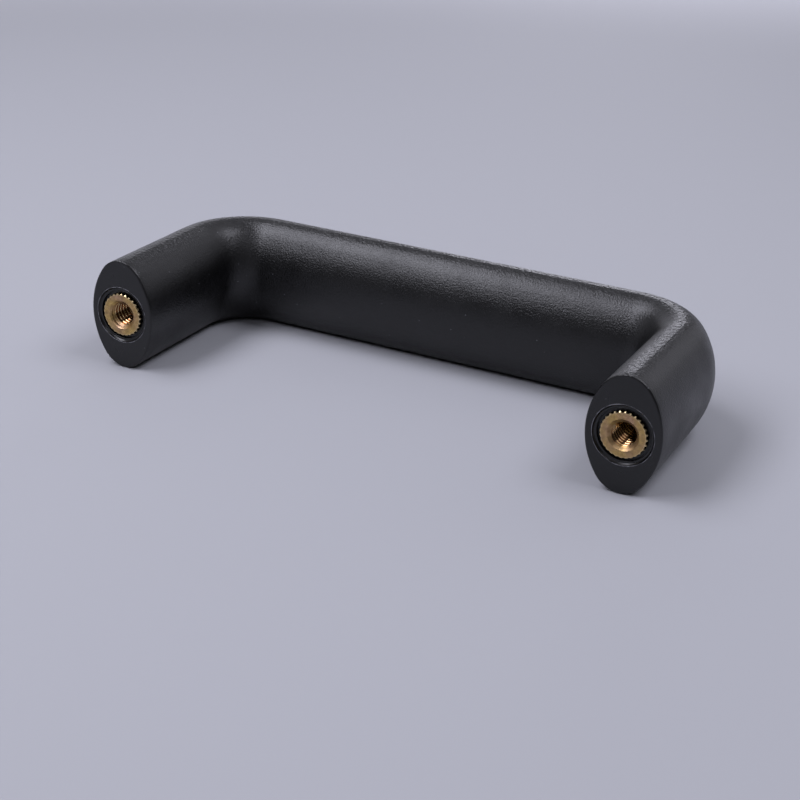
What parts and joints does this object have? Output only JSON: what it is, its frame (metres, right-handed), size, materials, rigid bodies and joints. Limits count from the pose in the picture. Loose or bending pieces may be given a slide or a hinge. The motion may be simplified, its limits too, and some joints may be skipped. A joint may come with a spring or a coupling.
{
  "type": "bridge pull handle",
  "caption": "Moulded U-shaped pull handle with an oval grip and a threaded brass insert in the end of each leg, screwed on from behind a panel.",
  "frame": {"origin": "midway between the two screw holes, on the mounting face, at half the bar's height", "axes": "+X along the grip, +Y from the mounting face to the grip, +Z across the bar; the handle lies on its side"},
  "size_m": [0.1328, 0.0509, 0.025],
  "materials": {
    "moulded_plastic": "fine-grained matt black, as moulded",
    "insert_brass": "machined, with a knurled rim"
  },
  "bodies": {
    "root": {"handle_body": "moulded_plastic", "insert_left": "insert_brass", "insert_right": "insert_brass"}
  },
  "joints": []
}
